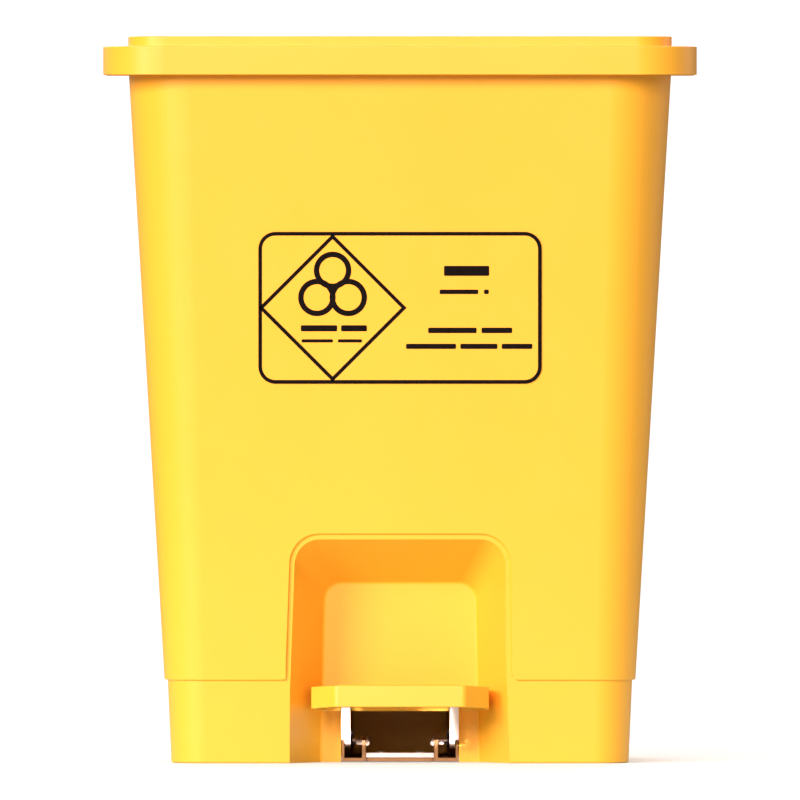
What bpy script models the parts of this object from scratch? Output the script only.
"""Pedal bin of about 30 litres for biohazard waste: a tapered moulded body, a hinged lid and a pedal.

Pressing the pedal turns the lever frame about two pivot pins. Its tail lifts a wire push rod behind the
body, and the rod's upper end lifts a lug under the lid, in front of the lid's hinge pins.

Frame: +Z up, the pedal side faces -Y, and the origin is on the floor under the middle of the bin's box.
Sizes below are in millimetres, measured from the centre of the body; BODY_Y places that centre.
"""

import math

import bmesh
import bpy
from mathutils import Matrix, Vector

MM = 0.001
GAP = 0.3  # between two pieces that touch

# Body: a tapered shell with an inset base
BODY_Y = -12.0
DRAFT = 0.0588  # outward run of a wall for each millimetre of height
BASE_TOP = 51.4
RIM_Z = 438.0
BODY_HALF_X, BODY_HALF_Y = 145.9, 133.9  # just above the base
BASE_INSET = 2.0
BASE_DRAFT = 0.0437
CORNER_R, CORNER_GROWTH = 25.5, 0.036
WALL = 2.6
FLOOR_TOP = 55.0
CORNER_STEPS = 8

# Rim flange, which the lid's skirt covers
FLANGE_TOP = 433.0
FLANGE_LIP_Z = 427.6
FLANGE_REACH = 11.4
FLANGE_THICK = 2.4

# Foot recess: an arch that narrows towards its back panel
RECESS_BACK_Y = -87.0
RECESS_FRONT_Y = -140.0
RECESS_BACK = {"foot": 49.6, "head": 47.2, "top": 111.4, "radius": 11.0}
RECESS_FRONT = {"foot": 73.1, "head": 66.8, "top": 140.2, "radius": 16.3}
RECESS_FRAME = 2.5  # width of the sunk band around the arch
BAND_CORNER_R = 3.0  # round corner of the front wall between the band and the base
LEVER_SLOT_HALF, LEVER_SLOT_TOP = 36.5, 46.0
TAIL_SLOT_HALF, TAIL_SLOT_TOP = 14.0, 50.0
CROSS_RIB_HALF, CROSS_RIB_Y, CROSS_RIB_FOOT = 29.0, (75.5, 78.0), 3.0

# Lid
LID_HALF_X, LID_HALF_Y, LID_R = 183.7, 171.5, 38.0
LID_SKIRT_Z, LID_STEP_Z, LID_TOP = 426.2, 443.8, 450.0
PLATEAU_INSET = 15.5
LID_WALL = 2.4

# Lid hinges
HINGE_Y, HINGE_Z = LID_HALF_Y + 17.0, 432.0
HINGE_X = 95.0
BARREL_R, BARREL_HALF = 7.0, 11.0
EAR_THICK, EAR_GAP = 4.5, 0.5
HINGE_PIN_R, HINGE_HOLE_R = 2.5, 2.85

# Push rod behind the rear wall, parallel to it
TILT = math.atan(DRAFT)
WIRE_R = 2.25
CRANK = 20.5  # how far the rod's upper end is in front of the hinge axis
HALF_SWING = math.radians(37.5)
LID_OPEN = 2 * HALF_SWING
ROD_FOOT_Z = 11.0
ROD_BEND = 5.0
ROD_END_X = 13.5
LUG_X = (6.3, 9.7)  # the lid's lug and the lever's tail are both in this slice
PIN_PLAY = 0.5
SLOT_WALL = 1.9

# Lever frame and its pivot
PIVOT_Y, PIVOT_Z = -45.0, 12.5
PIN_R, PIN_HOLE_R, BUSH_R, BUSH_HOLE_R = 1.6, 1.95, 2.7, 3.0
ARM_X = (30.8, 34.0)
ARM_TIP, ARM_HEAD = (-101.0, 11.4), (-107.0, 40.0)  # ends of an arm's front edge, as (y, z)
FLANGE_X, FLANGE_FOOT_Z, FLANGE_REAR_Y = 36.4, 14.0, -93.5  # thicker front of an arm, above the channel
ARM_REAR_Y = 94.0
CROSS_TUBE_Y, CROSS_TUBE_Z, CROSS_TUBE_R = 87.0, 12.0, 4.5

# Pivot bracket under the body: two channels that the arms run in
CHANNEL_INNER, CHANNEL_OUTER = (21.3, 23.5), (34.6, 36.0)
CHANNEL_TOP = 13.6
BRACKET_FLOOR = (0.4, 2.4)
BRACKET_Y = (-86.2, -8.0)
WING_X, WING_Z = 53.0, (6.0, 8.4)
POST_X, POST_YS, POST_R = 46.0, (-70.0, -20.0), 4.2
TIE_Y, TIE_Z = (-86.0, -74.0), (2.7, 5.6)
SNAP_Y, SNAP_Z, SNAP_END_X = -83.5, 11.6, 27.4

# Pedal, in its own frame: origin at the middle of its lower front edge
PEDAL_FRONT_Y, PEDAL_Z, PEDAL_TILT = -150.0, 35.0, math.radians(-3.5)
PEDAL_HALF, PEDAL_FRONT_HALF, PEDAL_CHAMFER = 55.0, 40.0, 18.0
PEDAL_REAR_HALF, PEDAL_TAPER_Y = 46.0, 38.0
PEDAL_DEPTH, PEDAL_THICK, PEDAL_WALL = 54.0, 13.4, 2.5
TAB_Z, TAB_X, TAB_Y = (5.0, 7.5), (26.0, 40.0), (5.0, 50.5)
PEDAL_SCREW_YS = (14.0, 36.0)

# Rear cover and rod guides, in the rear wall's frame: z along the wall, y out of it
COVER_Z = (-47.5, 353.0)
COVER_HALF, COVER_DEPTH, COVER_WALL = 23.0, 25.2, 2.2
COVER_FLANGE = 34.0
COVER_SCREW_ZS = (40.0, 320.0)
GUIDE_ZS = (62.0, 285.0)

# Label on the front wall
LABEL_HALF_X, LABEL_HALF_Z, LABEL_R = 87.7, 47.1, 10.5
LABEL_Z, LABEL_THICK = 282.0, 0.35

YELLOW = (1.0, 0.70, 0.10)
SLOTS = {
    "yellow_plastic": (YELLOW, 0.38, 0.0),
    "white_steel": ((0.88, 0.88, 0.86), 0.35, 0.3),
    "zinc_steel": ((0.75, 0.76, 0.78), 0.3, 1.0),
    "bronze_steel": ((0.45, 0.28, 0.09), 0.45, 0.3),
    "nylon": ((0.90, 0.89, 0.84), 0.5, 0.0),
    "black_nylon": ((0.03, 0.03, 0.03), 0.5, 0.0),
    "grey_rubber": ((0.10, 0.10, 0.10), 0.8, 0.0),
    "label_film": (YELLOW, 0.45, 0.0),
}


# Scene, collections and materials


def clear_scene():
    for obj in list(bpy.data.objects):
        bpy.data.objects.remove(obj, do_unlink=True)


def new_collection(name):
    collection = bpy.data.collections.new(name)
    bpy.context.scene.collection.children.link(collection)
    return collection


def new_material(name, colour, roughness, metallic):
    material = bpy.data.materials.new(name)
    material.use_nodes = True
    shader = material.node_tree.nodes["Principled BSDF"]
    shader.inputs["Base Color"].default_value = (*colour, 1.0)
    shader.inputs["Roughness"].default_value = roughness
    shader.inputs["Metallic"].default_value = metallic
    return material


clear_scene()
PARTS = new_collection("pedal_bin")
CUTTERS = new_collection("cutters")
MATERIALS = {name: new_material(name, *values) for name, values in SLOTS.items()}
BIN = bpy.data.objects.new("bin_frame", None)
BIN.location = (0, BODY_Y * MM, 0)
PARTS.objects.link(BIN)


# Shapes. Every helper takes millimetres and returns an object among the cutters.


def tool(name, bm):
    """An object from a bmesh in millimetres, kept with the cutters until part() makes it a piece."""
    bmesh.ops.recalc_face_normals(bm, faces=bm.faces)
    bmesh.ops.scale(bm, vec=(MM, MM, MM), verts=bm.verts)
    mesh = bpy.data.meshes.new(name)
    bm.to_mesh(mesh)
    bm.free()
    obj = bpy.data.objects.new(name, mesh)
    CUTTERS.objects.link(obj)
    obj.parent = BIN
    obj.hide_render = True
    obj.display_type = "WIRE"
    return obj


def part(obj, slot, origin=(0, 0, 0)):
    """Makes obj a piece of the bin, with its origin moved to the given point of the body's frame."""
    CUTTERS.objects.unlink(obj)
    PARTS.objects.link(obj)
    obj.hide_render = False
    obj.display_type = "TEXTURED"
    obj.data.materials.append(MATERIALS[slot])
    obj.data.shade_smooth()
    obj.data.set_sharp_from_angle(angle=math.radians(35))
    shift = Vector(origin) * MM
    to_local = obj.matrix_basis.inverted() @ shift
    obj.data.transform(Matrix.Translation(-to_local))
    obj.location = shift
    return obj


def box(name, low, high):
    bm = bmesh.new()
    low, high = Vector(low), Vector(high)
    size = high - low
    place = Matrix.Translation((low + high) / 2) @ Matrix.Diagonal((*size, 1))
    bmesh.ops.create_cube(bm, size=1.0, matrix=place)
    return tool(name, bm)


def cylinder(name, radius, start, end, steps=20, end_radius=None):
    """A cylinder or cone between two points."""
    start, end = Vector(start), Vector(end)
    along = end - start
    place = Matrix.Translation((start + end) / 2) @ along.to_track_quat("Z", "Y").to_matrix().to_4x4()
    bm = bmesh.new()
    bmesh.ops.create_cone(
        bm,
        cap_ends=True,
        segments=steps,
        radius1=radius,
        radius2=radius if end_radius is None else end_radius,
        depth=along.length,
        matrix=place,
    )
    return tool(name, bm)


def prism(name, outline, plane, start, end):
    """A flat outline pushed along the axis that the plane leaves out: "YZ" along X, "XZ" along Y, "XY" along Z."""
    order = {"YZ": lambda a, b: (start, a, b), "XZ": lambda a, b: (a, start, b), "XY": lambda a, b: (a, b, start)}
    push = {"YZ": Vector((1, 0, 0)), "XZ": Vector((0, 1, 0)), "XY": Vector((0, 0, 1))}
    bm = bmesh.new()
    face = bm.faces.new([bm.verts.new(order[plane](a, b)) for a, b in outline])
    pushed = bmesh.ops.extrude_face_region(bm, geom=[face], use_keep_orig=True)
    moved = [v for v in pushed["geom"] if isinstance(v, bmesh.types.BMVert)]
    bmesh.ops.translate(bm, vec=push[plane] * (end - start), verts=moved)
    return tool(name, bm)


def loft(name, rings, hoop=False):
    """A closed solid through rings of equally many points: flat at both ends, or a hoop whose last ring
    meets its first."""
    bm = bmesh.new()
    loops = [[bm.verts.new(point) for point in ring] for ring in rings]
    pairs = list(zip(loops, loops[1:]))
    if hoop:
        pairs.append((loops[-1], loops[0]))
    for lower, upper in pairs:
        for i in range(len(lower)):
            j = (i + 1) % len(lower)
            bm.faces.new((lower[i], lower[j], upper[j], upper[i]))
    if not hoop:
        bm.faces.new(loops[0])
        bm.faces.new(loops[-1])
    return tool(name, bm)


def turned(name, profile, place, steps=16):
    """A solid of revolution: profile points (radius, height) run down the outer side, then place moves it."""
    mesh = bpy.data.meshes.new(name)
    points = [(radius * MM, 0, height * MM) for radius, height in profile]
    mesh.from_pydata(points, [(i, i + 1) for i in range(len(points) - 1)], [])
    obj = bpy.data.objects.new(name, mesh)
    spin = obj.modifiers.new("spin", "SCREW")
    spin.steps = spin.render_steps = steps
    spin.use_merge_vertices = True
    spin.merge_threshold = 0.00001
    spin.use_smooth_shade = True
    CUTTERS.objects.link(obj)
    solid = bpy.data.meshes.new_from_object(obj.evaluated_get(bpy.context.evaluated_depsgraph_get()))
    bpy.data.objects.remove(obj)
    bm = bmesh.new()
    bm.from_mesh(solid)
    bmesh.ops.scale(bm, vec=(1 / MM,) * 3, verts=bm.verts)
    bmesh.ops.transform(bm, matrix=place, verts=bm.verts)
    return tool(name, bm)


def wire(name, route, radius):
    """A round wire along a route, as a welded mesh."""
    curve = bpy.data.curves.new(name, "CURVE")
    curve.dimensions = "3D"
    curve.bevel_depth = radius
    curve.bevel_resolution = 2
    curve.use_fill_caps = True
    spline = curve.splines.new("POLY")
    spline.points.add(len(route) - 1)
    for point, place in zip(spline.points, route):
        point.co = (*place, 1)
    drawn = bpy.data.objects.new(name, curve)
    CUTTERS.objects.link(drawn)
    mesh = bpy.data.meshes.new_from_object(drawn.evaluated_get(bpy.context.evaluated_depsgraph_get()))
    bpy.data.objects.remove(drawn)
    bm = bmesh.new()
    bm.from_mesh(mesh)
    bmesh.ops.remove_doubles(bm, verts=bm.verts, dist=0.001)
    return tool(name, bm)


def cut(obj, *others, operation="DIFFERENCE"):
    for other in others:
        modifier = obj.modifiers.new(other.name, "BOOLEAN")
        modifier.object = other
        modifier.operation = operation
    return obj


def join(obj, *others):
    return cut(obj, *others, operation="UNION")


def on_axis(point, direction):
    """The place of a turned piece whose height runs from point along direction."""
    return Matrix.Translation(point) @ Vector(direction).to_track_quat("Z", "Y").to_matrix().to_4x4()


def fastener(name, place, head_r, head_h, shank_r, shank_l, steps=16):
    """A domed head above place's origin and a shank below it."""
    profile = [
        (0, head_h),
        (head_r * 0.6, head_h * 0.86),
        (head_r, head_h * 0.35),
        (head_r, 0),
        (shank_r, 0),
        (shank_r, shank_r * 0.6 - shank_l),
        (0, -shank_l),
    ]
    return turned(name, profile, place, steps)


def washer(name, place, outer_r, inner_r, thick, steps=20):
    """A flat ring from place's origin upwards."""
    ring = turned(name, [(0, thick), (outer_r, thick), (outer_r, 0), (0, 0)], place, steps)
    hole = turned(f"{name}_hole", [(0, thick + 1), (inner_r, thick + 1), (inner_r, -1), (0, -1)], place, steps)
    return cut(ring, hole)


# Outlines


def rounded_rectangle(half_x, half_y, radius, z, steps=CORNER_STEPS):
    points = []
    for quarter, (sx, sy) in enumerate(((1, 1), (-1, 1), (-1, -1), (1, -1))):
        for i in range(steps + 1):
            angle = math.pi / 2 * (quarter + i / steps)
            x = sx * (half_x - radius) + radius * math.cos(angle)
            y = sy * (half_y - radius) + radius * math.sin(angle)
            points.append((x, y, z))
    return points


def wall_ring(z, inset=0.0):
    """The upper body's outer wall at height z, moved inwards."""
    rise = z - BASE_TOP
    radius = CORNER_R + CORNER_GROWTH * rise - inset
    return rounded_rectangle(
        BODY_HALF_X + DRAFT * rise - inset, BODY_HALF_Y + DRAFT * rise - inset, radius, z
    )


def base_ring(z, inset=0.0):
    """The base's outer wall at height z, moved inwards."""
    out = BASE_INSET + BASE_DRAFT * (BASE_TOP - z) + inset
    return rounded_rectangle(BODY_HALF_X - out, BODY_HALF_Y - out, CORNER_R - out, z)


def arch(y, grow=0.0, foot_z=-5.0, steps=6):
    """The foot recess in the upright plane at y, as a ring; grow moves its edge outwards."""
    share = (RECESS_BACK_Y - y) / (RECESS_BACK_Y - RECESS_FRONT_Y)
    size = {k: RECESS_BACK[k] + (RECESS_FRONT[k] - RECESS_BACK[k]) * share for k in RECESS_BACK}
    radius = size["radius"] + grow
    top = size["top"] + grow
    shoulder = top - radius
    half_foot = size["foot"] + grow
    half_head = size["head"] + grow
    right = [(half_foot, foot_z)]
    for i in range(steps + 1):
        angle = math.pi / 2 * i / steps
        right.append((half_head - radius + radius * math.cos(angle), shoulder + radius * math.sin(angle)))
    left = [(-x, z) for x, z in reversed(right)]
    return [(x, y, z) for x, z in right + left]


def capsule(a, b, radius, steps=8):
    """The outline of a slot whose round ends are centred on a and b."""
    a, b = Vector(a), Vector(b)
    lean = math.atan2(b.y - a.y, b.x - a.x)
    points = []
    for centre, start in ((b, lean - math.pi / 2), (a, lean + math.pi / 2)):
        for i in range(steps + 1):
            angle = start + math.pi * i / steps
            points.append((centre.x + radius * math.cos(angle), centre.y + radius * math.sin(angle)))
    return points


# How the rod, the lid and the lever move together


ROD_UP = Vector((math.sin(TILT), math.cos(TILT)))  # in the YZ plane
HINGE = Vector((HINGE_Y, HINGE_Z))
PIVOT = Vector((PIVOT_Y, PIVOT_Z))
ROD_HEAD = HINGE + Vector((-CRANK, -CRANK * math.tan(HALF_SWING)))
ROD_FOOT = ROD_HEAD - ROD_UP * ((ROD_HEAD.y - ROD_FOOT_Z) / ROD_UP.y)


def bearing(point, centre):
    """The angle of point above the horizontal through centre, seen from the pin's side."""
    return math.atan2(point.y - centre.y, abs(point.x - centre.x))


def rod_travel():
    """How far the rod rises while its head swings from HALF_SWING below the hinge axis to as far above."""
    slope = math.tan(HALF_SWING)
    reach = HINGE - ROD_HEAD
    return (reach.x * slope + reach.y) / (ROD_UP.y + ROD_UP.x * slope)


ROD_TRAVEL = rod_travel()
PEDAL_DOWN = bearing(ROD_FOOT + ROD_UP * ROD_TRAVEL, PIVOT) - bearing(ROD_FOOT, PIVOT)


def slot_ends(start, centre, full_angle, steps=24):
    """(inner end, outer end, spare half width) of the straight slot that a rod's end needs in a piece that
    turns about centre by full_angle while the rod rises by ROD_TRAVEL."""
    track = []
    turn = math.copysign(1, centre.x - start.x)
    for i in range(steps + 1):
        share = i / steps
        offset = start + ROD_UP * (ROD_TRAVEL * share) - centre
        offset.rotate(Matrix.Rotation(turn * full_angle * share, 2))
        track.append(offset)
    along = track[0].normalized()
    across = Vector((-along.y, along.x))
    reach = [p.dot(along) for p in track]
    drift = [p.dot(across) for p in track]
    middle = across * ((min(drift) + max(drift)) / 2)
    inner = centre + along * min(reach) + middle
    outer = centre + along * max(reach) + middle
    return inner, outer, (max(drift) - min(drift)) / 2


def slotted_end(name, start, centre, full_angle):
    """(plate around the slot, cutter for the slot) in the slice LUG_X."""
    inner, outer, spare = slot_ends(start, centre, full_angle)
    hole_r = WIRE_R + PIN_PLAY + spare
    plate = prism(f"{name}_eye", capsule(inner, outer, hole_r + SLOT_WALL), "YZ", *LUG_X)
    slot = prism(f"{name}_slot", capsule(inner, outer, hole_r), "YZ", LUG_X[0] - 1, LUG_X[1] + 1)
    return plate, slot


def placed(obj, origin, lean):
    """Moves an object, and the tools of its Booleans with it, into the frame that they were all made for."""
    obj.location = Vector(origin) * MM
    obj.rotation_euler.x = lean
    for modifier in obj.modifiers:
        if modifier.type == "BOOLEAN":
            placed(modifier.object, origin, lean)
    return obj


def in_rear_frame(obj):
    """For objects made with y out of the rear wall and z up along it."""
    return placed(obj, (0, BODY_HALF_Y, BASE_TOP), -TILT)


# Body


def band_corner(name, side, far_y):
    """Rounds the front wall's lower corner beside the sunk band."""
    (foot_x, _, foot_z), (head_x, _, head_z) = arch(-BODY_HALF_Y, RECESS_FRAME)[:2]
    top = BASE_TOP + BAND_CORNER_R
    edge = foot_x + (head_x - foot_x) * (top - foot_z) / (head_z - foot_z)
    outline = [(edge - 1.5, top), (edge - 1.5, BASE_TOP - 0.5), (edge + BAND_CORNER_R, BASE_TOP - 0.5)]
    for i in range(7):
        angle = math.pi * (1.5 - i / 12)
        x = edge + BAND_CORNER_R * (1 + math.cos(angle))
        outline.append((x, BASE_TOP + BAND_CORNER_R * (1 + math.sin(angle))))
    return prism(name, [(side * x, z) for x, z in outline], "XZ", far_y, -110)


def recess_cutters():
    """(hollow of the foot recess, the same grown by the wall, the sunk band around its mouth with its corners)."""
    far_y = RECESS_FRONT_Y - 30
    hollow = loft("recess_hollow", [arch(RECESS_BACK_Y), arch(far_y)])
    outside = loft("recess_outside", [arch(RECESS_BACK_Y + WALL, WALL + 0.4, -8), arch(far_y, WALL + 0.4, -8)])
    sunk = [base_ring(-9, -0.5), base_ring(BASE_TOP - 0.1, -0.5), wall_ring(BASE_TOP, BASE_INSET)]
    sunk.append(wall_ring(RIM_Z + 5, BASE_INSET))
    band_floor = loft("band_floor", sunk)
    bands = [loft("recess_band", [arch(-110, RECESS_FRAME, -6), arch(far_y, RECESS_FRAME, -6)])]
    bands += [band_corner("band_corner_left", -1, far_y), band_corner("band_corner_right", 1, far_y)]
    return hollow, outside, [cut(band, band_floor) for band in bands]


def rim_flange():
    """A flange around the body with a turned-down lip. The lug and the rod pass through a notch at its rear."""
    rise = FLANGE_TOP - BASE_TOP
    reach, under = FLANGE_REACH, FLANGE_TOP - FLANGE_THICK
    section = [(-WALL / 2, FLANGE_TOP), (reach - 0.8, FLANGE_TOP), (reach, FLANGE_TOP - 0.8), (reach, FLANGE_LIP_Z)]
    section += [(reach - FLANGE_THICK, FLANGE_LIP_Z), (reach - FLANGE_THICK, under), (-WALL / 2, under)]
    rings = []
    for out, z in section:
        half_x, half_y = BODY_HALF_X + DRAFT * rise + out, BODY_HALF_Y + DRAFT * rise + out
        radius = CORNER_R + CORNER_GROWTH * rise + out - 3
        rings.append(rounded_rectangle(half_x, half_y, radius, z, CORNER_STEPS - 1))
    flange = loft("rim_flange", rings, hoop=True)
    return cut(flange, box("rod_notch", (-6, 154, 420), (17, 175, 440)))


def hinge_ear(name, x):
    """A gusset from the rear wall, under the lid's skirt and up to the hinge pin."""
    outline = [(150, 396), (150, LID_SKIRT_Z - 1.2), (LID_HALF_Y + 1.2, LID_SKIRT_Z - 1.2)]
    for i in range(9):
        angle = math.radians(140 - 215 * i / 8)
        outline.append((HINGE_Y + BARREL_R * math.cos(angle), HINGE_Z + BARREL_R * math.sin(angle)))
    return prism(name, outline, "YZ", x, x + EAR_THICK)


def hinge_ears():
    ears = []
    for side in (-1, 1):
        for edge in (BARREL_HALF + EAR_GAP, -BARREL_HALF - EAR_GAP - EAR_THICK):
            ears.append(hinge_ear(f"ear_{len(ears)}", side * HINGE_X + edge))
    return ears


def hinge_hole(name, side):
    reach = Vector((BARREL_HALF + EAR_THICK + 4, 0, 0))
    middle = Vector((side * HINGE_X, HINGE_Y, HINGE_Z))
    return cylinder(name, HINGE_HOLE_R, middle - reach, middle + reach, 24)


def body_shell():
    outer = [base_ring(0), base_ring(BASE_TOP), wall_ring(BASE_TOP + 0.3), wall_ring(RIM_Z)]
    body = loft("body_shell", outer)
    hollow, outside, bands = recess_cutters()
    inside = loft(
        "inside",
        [wall_ring(FLOOR_TOP, WALL + 5), wall_ring(FLOOR_TOP + 1.5, WALL + 1.5)]
        + [wall_ring(FLOOR_TOP + 5, WALL), wall_ring(RIM_Z + 2, WALL)],
    )
    underside = loft("underside", [base_ring(-1, WALL), base_ring(FLOOR_TOP - WALL, WALL)])
    cut(inside, outside)
    cut(underside, outside)
    join(body, rim_flange(), *hinge_ears())
    cut(body, inside, underside, hollow, *bands)
    half, (near_y, far_y) = CROSS_RIB_HALF, CROSS_RIB_Y
    join(body, box("cross_rib", (-half, near_y, CROSS_RIB_FOOT), (half, far_y, FLOOR_TOP - 1)))
    for x in (-POST_X, POST_X):
        for y in POST_YS:
            place = f"{'left' if x < 0 else 'right'}_{int(-y)}"
            bottom = WING_Z[1] + GAP
            join(body, cylinder(f"post_{place}", POST_R, (x, y, bottom), (x, y, FLOOR_TOP - 1), 16))
            cut(body, cylinder(f"pilot_{place}", 1.7, (x, y, bottom - 1), (x, y, bottom + 14), 12))
    lever_slot = box(
        "lever_slot",
        (-LEVER_SLOT_HALF, RECESS_BACK_Y - 6, -5),
        (LEVER_SLOT_HALF, RECESS_BACK_Y + 8, LEVER_SLOT_TOP),
    )
    tail_slot = box("tail_slot", (-TAIL_SLOT_HALF, 120, -5), (TAIL_SLOT_HALF, 145, TAIL_SLOT_TOP))
    cut(body, lever_slot, tail_slot, hinge_hole("ear_hole_left", -1), hinge_hole("ear_hole_right", 1))
    cut(body, *[wall_pilot(i, x, z) for i, (x, z) in enumerate(wall_screw_places())])
    return part(body, "yellow_plastic")


def wall_screw_places():
    """(x, z) in the rear wall's frame of every screw through that wall: the cover's, then the guides'."""
    cover_x = (COVER_HALF + COVER_FLANGE) / 2
    places = [(side * cover_x, z) for z in COVER_SCREW_ZS for side in (-1, 1)]
    return places + [(side * 14.0, z) for z in GUIDE_ZS for side in (-1, 1)]


def wall_pilot(index, x, z):
    return in_rear_frame(cylinder(f"wall_pilot_{index}", 1.75, (x, -WALL - 3, z), (x, 4, z), 12))


# Lid


def lid_ring(z, inset=0.0):
    return rounded_rectangle(LID_HALF_X - inset, LID_HALF_Y - inset, LID_R - inset, z)


def lid():
    inset = PLATEAU_INSET
    shell = loft(
        "lid",
        [lid_ring(LID_SKIRT_Z), lid_ring(LID_STEP_Z - 0.8), lid_ring(LID_STEP_Z, 0.8)]
        + [lid_ring(LID_STEP_Z, inset), lid_ring(LID_TOP - 1.2, inset), lid_ring(LID_TOP, inset + 1.2)],
    )
    hollow = loft(
        "lid_hollow",
        [lid_ring(LID_SKIRT_Z - 1, LID_WALL), lid_ring(LID_STEP_Z - LID_WALL, LID_WALL)]
        + [lid_ring(LID_STEP_Z - LID_WALL, inset + LID_WALL), lid_ring(LID_TOP - LID_WALL, inset + LID_WALL)],
    )
    cut(shell, hollow)
    for name, side in (("left", -1), ("right", 1)):
        low, high = side * HINGE_X - BARREL_HALF, side * HINGE_X + BARREL_HALF
        web = [(LID_HALF_Y - 1.2, 428), (LID_HALF_Y - 1.2, 442.4), (HINGE_Y - 4, HINGE_Z + 5.5), (HINGE_Y, 427)]
        barrel = cylinder(f"barrel_{name}", BARREL_R, (low, HINGE_Y, HINGE_Z), (high, HINGE_Y, HINGE_Z), 24)
        join(shell, prism(f"web_{name}", web, "YZ", low, high), barrel)
        cut(shell, hinge_hole(f"barrel_hole_{name}", side))
    plate, slot = slotted_end("lug", ROD_HEAD, HINGE, LID_OPEN)
    neck = [(163, 414), (172, 421), (170, 427), (169.8, 442.6), (157.5, 442.6), (158.5, 433), (160.5, 419)]
    join(shell, prism("lug_neck", neck, "YZ", *LUG_X), plate)
    cut(shell, slot)
    return part(shell, "yellow_plastic", (0, HINGE_Y, HINGE_Z))


def lid_buffers():
    """Rubber pads under the lid that land on the body's rim."""
    for depth, y_side in (("front", -1), ("rear", 1)):
        for side, x_side in (("left", -1), ("right", 1)):
            x, y = x_side * 100.0, y_side * (BODY_HALF_Y + DRAFT * (RIM_Z - BASE_TOP) - WALL / 2)
            pad = box(
                f"lid_buffer_{depth}_{side}",
                (x - 12, y - 2.2, RIM_Z + GAP),
                (x + 12, y + 1.4, LID_STEP_Z - LID_WALL - GAP),
            )
            part(pad, "grey_rubber", (0, HINGE_Y, HINGE_Z))


def hinge_pins():
    for name, side in (("left", -1), ("right", 1)):
        outer = side * HINGE_X + side * (BARREL_HALF + EAR_GAP + EAR_THICK + GAP)
        length = 2 * (BARREL_HALF + EAR_GAP + EAR_THICK) + 5
        place = on_axis((outer, HINGE_Y, HINGE_Z), (side, 0, 0))
        part(fastener(f"hinge_pin_{name}", place, 4.6, 2.0, HINGE_PIN_R, length, 20), "zinc_steel")
        clip_x = side * HINGE_X - side * (BARREL_HALF + EAR_GAP + EAR_THICK + GAP)
        clip_place = on_axis((clip_x, HINGE_Y, HINGE_Z), (-side, 0, 0))
        clip = washer(f"hinge_clip_{name}", clip_place, 5.0, HINGE_PIN_R + GAP, 1.2)
        part(clip, "zinc_steel")


# Push rod


def bent_end(corner, up, out):
    """Points around a bend at corner, from the rod's line on to its sideways end."""
    points = []
    for i in range(7):
        angle = math.pi / 2 * i / 6
        points.append(corner - up * ROD_BEND * (1 - math.sin(angle)) + out * ROD_BEND * (1 - math.cos(angle)))
    return points


def push_rod():
    """A wire with both ends bent to +X, through the lever's tail and the lid's lug."""
    up = Vector((0, ROD_UP.x, ROD_UP.y))
    out = Vector((1, 0, 0))
    head = Vector((0, ROD_HEAD.x, ROD_HEAD.y))
    foot = Vector((0, ROD_FOOT.x, ROD_FOOT.y))
    end = out * ROD_END_X
    route = [foot + end, *reversed(bent_end(foot, -up, out)), *bent_end(head, up, out), head + end]
    part(wire("push_rod", route, WIRE_R), "zinc_steel")
    for name, spot in (("upper", head), ("lower", foot)):
        place = on_axis((LUG_X[1] + GAP, spot.y, spot.z), (1, 0, 0))
        part(washer(f"rod_clip_{name}", place, 5.0, WIRE_R + GAP, 1.2), "zinc_steel")


def rod_depth():
    """The rod's distance out of the rear wall's outer face."""
    offset = ROD_HEAD - Vector((BODY_HALF_Y, BASE_TOP))
    return offset.x * math.cos(TILT) - offset.y * math.sin(TILT)


def rod_guides():
    """Two saddles screwed to the rear wall, which the rod slides through."""
    for name, z in zip(("lower", "upper"), GUIDE_ZS):
        guide = box(f"rod_guide_{name}", (-19, GAP, z - 7), (19, 3.2, z + 7))
        join(guide, box(f"guide_block_{name}", (-6.5, 1, z - 6), (6.5, rod_depth() + 5.5, z + 6)))
        cut(guide, cylinder(f"guide_bore_{name}", WIRE_R + 0.45, (0, rod_depth(), z - 9), (0, rod_depth(), z + 9), 20))
        for side in (-1, 1):
            hole = cylinder(f"guide_hole_{name}_{side}", 1.95, (side * 14, -2, z), (side * 14, 6, z), 12)
            cut(guide, hole)
        part(in_rear_frame(guide), "nylon")


def wall_screws():
    """The cover's and the guides' screws, whose heads lie on the piece that they hold."""
    thickness = [COVER_WALL + GAP] * 4 + [3.2] * 4
    names = [f"cover_screw_{i}" for i in range(1, 5)] + [f"guide_screw_{i}" for i in range(1, 5)]
    for name, (x, z), thick in zip(names, wall_screw_places(), thickness):
        place = on_axis((x, thick + GAP, z), (0, 1, 0))
        screw = fastener(name, place, 3.4, 1.9, 1.45, thick + WALL, 14)
        part(in_rear_frame(screw), "zinc_steel")


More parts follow.
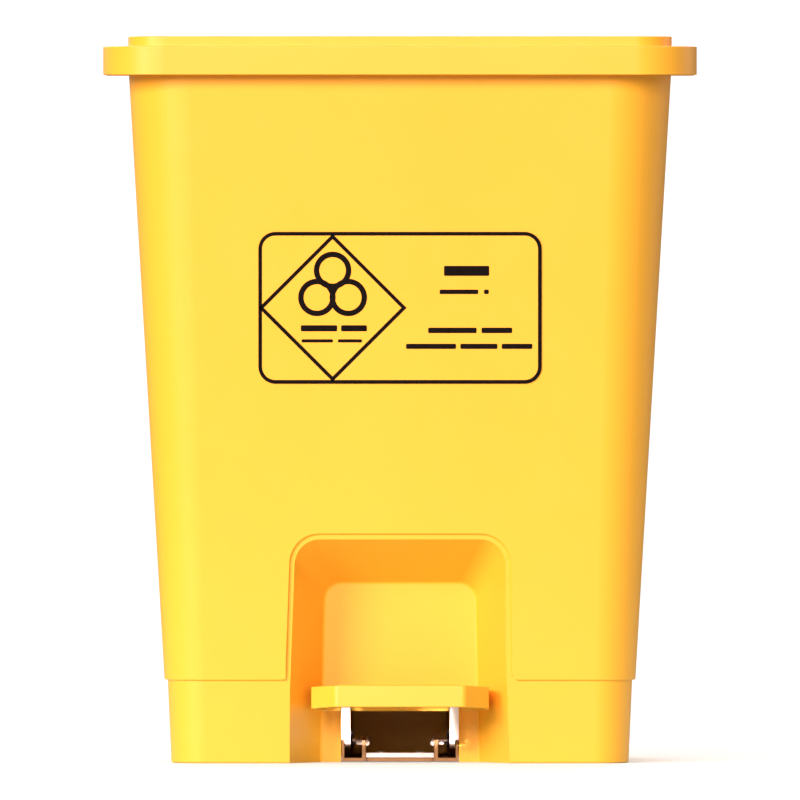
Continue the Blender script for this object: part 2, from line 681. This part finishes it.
def rear_cover():
    """A channel over the rod with a flange on each side, open at both ends."""
    low, high = COVER_Z
    cover = box("rear_cover", (-COVER_FLANGE, GAP, low), (COVER_FLANGE, GAP + COVER_WALL, high))
    ridge = [(-COVER_HALF, 1), (-COVER_HALF + 3, COVER_DEPTH), (COVER_HALF - 3, COVER_DEPTH), (COVER_HALF, 1)]
    inner_half, inner_depth = COVER_HALF - COVER_WALL, COVER_DEPTH - COVER_WALL
    groove = [(-inner_half, -2), (-inner_half + 3, inner_depth), (inner_half - 3, inner_depth), (inner_half, -2)]
    bulge = prism("cover_ridge", ridge, "XY", low, high)
    round_edges = bulge.modifiers.new("round", "BEVEL")
    round_edges.width = 3.5 * MM
    round_edges.segments = 3
    round_edges.limit_method = "ANGLE"
    round_edges.angle_limit = math.radians(60)
    join(cover, bulge)
    cut(cover, prism("cover_groove", groove, "XY", low - 2, high + 2))
    for i, (x, z) in enumerate(wall_screw_places()[:4]):
        cut(cover, cylinder(f"cover_hole_{i}", 1.95, (x, -2, z), (x, 6, z), 12))
    part(in_rear_frame(cover), "yellow_plastic")


# Pedal and lever


def in_pedal_frame(obj):
    """For objects made with the origin at the middle of the pedal's lower front edge."""
    return placed(obj, (0, PEDAL_FRONT_Y, PEDAL_Z), PEDAL_TILT)


def pedal_outline(inset=0.0):
    half, front, rear = PEDAL_HALF - inset, PEDAL_FRONT_HALF - inset * 0.6, PEDAL_REAR_HALF - inset * 0.7
    right = [(rear, PEDAL_DEPTH - inset), (half, PEDAL_TAPER_Y), (half, PEDAL_CHAMFER + inset * 0.4), (front, inset)]
    return [*right[::-1], *[(-x, y) for x, y in right]]


def pedal_plate():
    """A hollow tread with a skirt, open below, with ridges on top."""
    plate = prism("pedal_plate", pedal_outline(), "XY", 0, PEDAL_THICK)
    edges = plate.modifiers.new("round", "BEVEL")
    edges.width = 1.6 * MM
    edges.segments = 3
    edges.limit_method = "ANGLE"
    edges.angle_limit = math.radians(30)
    cut(plate, prism("pedal_hollow", pedal_outline(PEDAL_WALL), "XY", -1, PEDAL_THICK - PEDAL_WALL))
    for i in range(5):
        y = 10.0 + 8.5 * i
        join(plate, box(f"tread_{i}", (-38, y, PEDAL_THICK - 1), (38, y + 2.4, PEDAL_THICK + 0.9)))
    rib_top = PEDAL_THICK - PEDAL_WALL + 1
    join(plate, box("pedal_rib", (-1.2, 1, 1.5), (1.2, PEDAL_DEPTH - 1, rib_top)))
    for side in (-1, 1):
        for i, y in enumerate(PEDAL_SCREW_YS):
            x = side * sum(TAB_X) / 2
            boss = cylinder(f"boss_{side}_{i}", 3.6, (x, y, TAB_Z[1] + GAP), (x, y, rib_top), 14)
            pilot = cylinder(f"boss_pilot_{side}_{i}", 1.7, (x, y, 5), (x, y, PEDAL_THICK - 1.4), 12)
            cut(join(plate, boss), pilot)
        notch_x = sorted((side * (ARM_X[0] - 0.8), side * (FLANGE_X + 0.8)))
        notch = box(f"notch_{side}", (notch_x[0], PEDAL_DEPTH - 8, -2), (notch_x[1], PEDAL_DEPTH + 3, 10.0))
        cut(plate, notch)
    part(in_pedal_frame(plate), "yellow_plastic", (0, PIVOT_Y, PIVOT_Z))


def arm_outline():
    """Side view of an arm: an upstand under the pedal, a sloping blade and a straight bar to the rear."""
    blade = [ARM_TIP, ARM_HEAD, (-97.5, 39.6), (-92, 34), (-66, 20.0), (PIVOT_Y, 18.0)]
    return [*blade, (ARM_REAR_Y, 18.0), (ARM_REAR_Y, 6.0), (PIVOT_Y + 7, 7.7), (PIVOT_Y - 7, 7.7)]


def flange_outline():
    """Side view of the thicker front of an arm, with the same front edge."""
    share = (FLANGE_FOOT_Z - ARM_TIP[1]) / (ARM_HEAD[1] - ARM_TIP[1])
    foot_y = ARM_TIP[0] + (ARM_HEAD[0] - ARM_TIP[0]) * share
    return [(foot_y, FLANGE_FOOT_Z), ARM_HEAD, (-97.5, 39.6), (FLANGE_REAR_Y, 35.5), (FLANGE_REAR_Y, FLANGE_FOOT_Z)]


def lever_frame():
    """One welded frame: two arms with a tab under the pedal, a cross tube and a slotted tail."""
    tube_x = ARM_X[1] - 1
    tube = ((-tube_x, CROSS_TUBE_Y, CROSS_TUBE_Z), (tube_x, CROSS_TUBE_Y, CROSS_TUBE_Z))
    frame = cylinder("lever_frame", CROSS_TUBE_R, *tube)
    for name, side in (("left", -1), ("right", 1)):
        low, high = sorted((side * ARM_X[0], side * ARM_X[1]))
        join(frame, prism(f"arm_{name}", arm_outline(), "YZ", low, high))
        low, high = sorted((side * (ARM_X[1] - 1), side * FLANGE_X))
        join(frame, prism(f"flange_{name}", flange_outline(), "YZ", low, high))
        low, high = sorted((side * TAB_X[0], side * TAB_X[1]))
        tab = box(f"tab_{name}", (low, TAB_Y[0], TAB_Z[0]), (high, TAB_Y[1], TAB_Z[1]))
        join(frame, in_pedal_frame(tab))
        for i, y in enumerate(PEDAL_SCREW_YS):
            x = side * sum(TAB_X) / 2
            cut(frame, in_pedal_frame(cylinder(f"tab_hole_{name}_{i}", 1.9, (x, y, 3), (x, y, 9), 12)))
        pivot = [(side * x, PIVOT_Y, PIVOT_Z) for x in (ARM_X[0] - 2, ARM_X[1] + 2)]
        cut(frame, cylinder(f"bush_seat_{name}", BUSH_HOLE_R, *pivot, 24))
    plate, slot = slotted_end("tail", ROD_FOOT, PIVOT, PEDAL_DOWN)
    tail = [(CROSS_TUBE_Y, 16.0), (CROSS_TUBE_Y, 8.0), (146.0, 6.2), (146.0, 15.6)]
    join(frame, prism("tail_bar", tail, "YZ", *LUG_X), plate)
    cut(frame, slot)
    part(frame, "white_steel", (0, PIVOT_Y, PIVOT_Z))


def pedal_screws():
    number = 0
    for side in (-1, 1):
        for y in PEDAL_SCREW_YS:
            number += 1
            place = on_axis((side * sum(TAB_X) / 2, y, TAB_Z[0] - GAP), (0, 0, -1))
            screw = fastener(f"pedal_screw_{number}", place, 3.2, 1.8, 1.4, 6.6, 14)
            part(in_pedal_frame(screw), "zinc_steel", (0, PIVOT_Y, PIVOT_Z))


# Pivot bracket and pivots


def wall_outline():
    """Side view of a channel wall, with an ear around the pivot."""
    ear_r = 3.7
    outline = [(BRACKET_Y[0], 1.0), (BRACKET_Y[0], CHANNEL_TOP)]
    for i in range(7):
        angle = math.radians(160 - 140 * i / 6)
        outline.append((PIVOT_Y + ear_r * math.cos(angle), PIVOT_Z + ear_r * math.sin(angle)))
    return [*outline, (BRACKET_Y[1], CHANNEL_TOP), (BRACKET_Y[1], 1.0)]


def pivot_bracket():
    """A floor plate with two open channels and a raised wing on each side for the screws."""
    floor_half = CHANNEL_OUTER[1]
    bracket = box(
        "pivot_bracket",
        (-floor_half, BRACKET_Y[0], BRACKET_FLOOR[0]),
        (floor_half, BRACKET_Y[1], BRACKET_FLOOR[1]),
    )
    for name, side in (("left", -1), ("right", 1)):
        for row, span in (("inner", CHANNEL_INNER), ("outer", CHANNEL_OUTER)):
            low, high = sorted((side * span[0], side * span[1]))
            join(bracket, prism(f"channel_{row}_{name}", wall_outline(), "YZ", low, high))
        low, high = sorted((side * (CHANNEL_OUTER[0] + 0.5), side * WING_X))
        wing_y = (RECESS_BACK_Y + WALL + GAP + 0.5, BRACKET_Y[1] - 1)
        join(bracket, box(f"wing_{name}", (low, wing_y[0], WING_Z[0]), (high, wing_y[1], WING_Z[1])))
        pivot = [(side * x, PIVOT_Y, PIVOT_Z) for x in (CHANNEL_INNER[0] - 2, CHANNEL_OUTER[1] + 2)]
        cut(bracket, cylinder(f"pivot_hole_{name}", PIN_HOLE_R, *pivot, 20))
        for i, y in enumerate(POST_YS):
            hole = cylinder(f"wing_hole_{name}_{i}", 1.95, (side * POST_X, y, 3), (side * POST_X, y, 12), 12)
            cut(bracket, hole)
        rivet_x = side * 12.0
        cut(bracket, cylinder(f"rivet_hole_{name}", 1.7, (rivet_x, -80, -2), (rivet_x, -80, 5), 12))
        slit_x = sorted((side * 19.9, side * CHANNEL_INNER[0]))
        cut(bracket, box(f"slit_{name}", (slit_x[0], BRACKET_Y[0] - 1, -1), (slit_x[1], BRACKET_Y[0] + 2.2, 2.6)))
        snap = [(side * x, SNAP_Y, SNAP_Z) for x in (CHANNEL_INNER[0] - 2, CHANNEL_INNER[1] + 2)]
        cut(bracket, cylinder(f"snap_hole_{name}", 1.25, *snap, 14))
    part(bracket, "bronze_steel")


def bracket_screws():
    number = 0
    for side in (-1, 1):
        for y in POST_YS:
            number += 1
            place = on_axis((side * POST_X, y, WING_Z[0] - GAP), (0, 0, -1))
            part(fastener(f"bracket_screw_{number}", place, 3.4, 2.0, 1.4, 14.0, 14), "zinc_steel")


def tie_strip():
    """A steel strip between the channels, riveted to the bracket's front edge."""
    half = CHANNEL_INNER[0] - GAP
    strip = box("tie_strip", (-half, TIE_Y[0], TIE_Z[0]), (half, TIE_Y[1], TIE_Z[1]))
    for name, x in (("left", -12.0), ("right", 12.0)):
        cut(strip, cylinder(f"strip_hole_{name}", 1.7, (x, -80, 0), (x, -80, 8), 12))
        place = on_axis((x, -80, TIE_Z[1] + GAP), (0, 0, 1))
        rivet = fastener(f"tie_rivet_{name}", place, 2.6, 0.6, 1.35, TIE_Z[1] + GAP - 0.8, 14)
        part(rivet, "zinc_steel")
    part(strip, "white_steel")


def snap_pins():
    """A short nylon pin through the inner wall of each channel, near its front."""
    for name, side in (("left", -1), ("right", 1)):
        head_x = CHANNEL_INNER[0] - GAP
        place = on_axis((side * head_x, SNAP_Y, SNAP_Z), (-side, 0, 0))
        part(fastener(f"snap_pin_{name}", place, 1.7, 2.2, 0.9, SNAP_END_X - head_x, 16), "nylon")


def pivots():
    """Per side: a pin through the channel's walls, a clip on its outer end and a bush in the arm."""
    for name, side in (("left", -1), ("right", 1)):
        head_x = CHANNEL_INNER[0] - GAP
        place = on_axis((side * head_x, PIVOT_Y, PIVOT_Z), (-side, 0, 0))
        length = CHANNEL_OUTER[1] + 2.4 - head_x
        part(fastener(f"pivot_pin_{name}", place, 2.6, 2.0, PIN_R, length, 20), "zinc_steel")
        clip_place = on_axis((side * (CHANNEL_OUTER[1] + GAP), PIVOT_Y, PIVOT_Z), (side, 0, 0))
        part(washer(f"pivot_clip_{name}", clip_place, 3.8, PIN_R + GAP, 1.0), "zinc_steel")
        bush_place = on_axis((side * (ARM_X[0] - 1.3), PIVOT_Y, PIVOT_Z), (side, 0, 0))
        profile = [(0, 4.5), (BUSH_R, 4.5), (BUSH_R, 1.0), (4.4, 1.0), (4.4, 0), (0, 0)]
        bush = turned(f"pivot_bush_{name}", profile, bush_place, 24)
        bore = turned(f"bush_bore_{name}", [(0, 8), (PIN_HOLE_R, 8), (PIN_HOLE_R, -2), (0, -2)], bush_place, 24)
        part(cut(bush, bore), "black_nylon", (0, PIVOT_Y, PIVOT_Z))


def label():
    """A printed film on the front wall."""
    ring = rounded_rectangle(LABEL_HALF_X, LABEL_HALF_Z, LABEL_R, 0, 6)
    film = prism("label", [(x, z) for x, z, _ in ring], "XZ", -GAP - LABEL_THICK, -GAP)
    front_y = BODY_HALF_Y + DRAFT * (LABEL_Z - BASE_TOP)
    part(placed(film, (0, -front_y, LABEL_Z), TILT), "label_film")


def main():
    body_shell()
    lid()
    lid_buffers()
    hinge_pins()
    push_rod()
    rod_guides()
    rear_cover()
    wall_screws()
    pedal_plate()
    lever_frame()
    pedal_screws()
    pivot_bracket()
    bracket_screws()
    tie_strip()
    snap_pins()
    pivots()
    label()
    print(f"rod travel {ROD_TRAVEL:.3f} mm, pedal {math.degrees(PEDAL_DOWN):.4f} degrees")
    print(f"rod head {tuple(ROD_HEAD)}, foot {tuple(ROD_FOOT)}, depth {rod_depth():.2f}")


main()
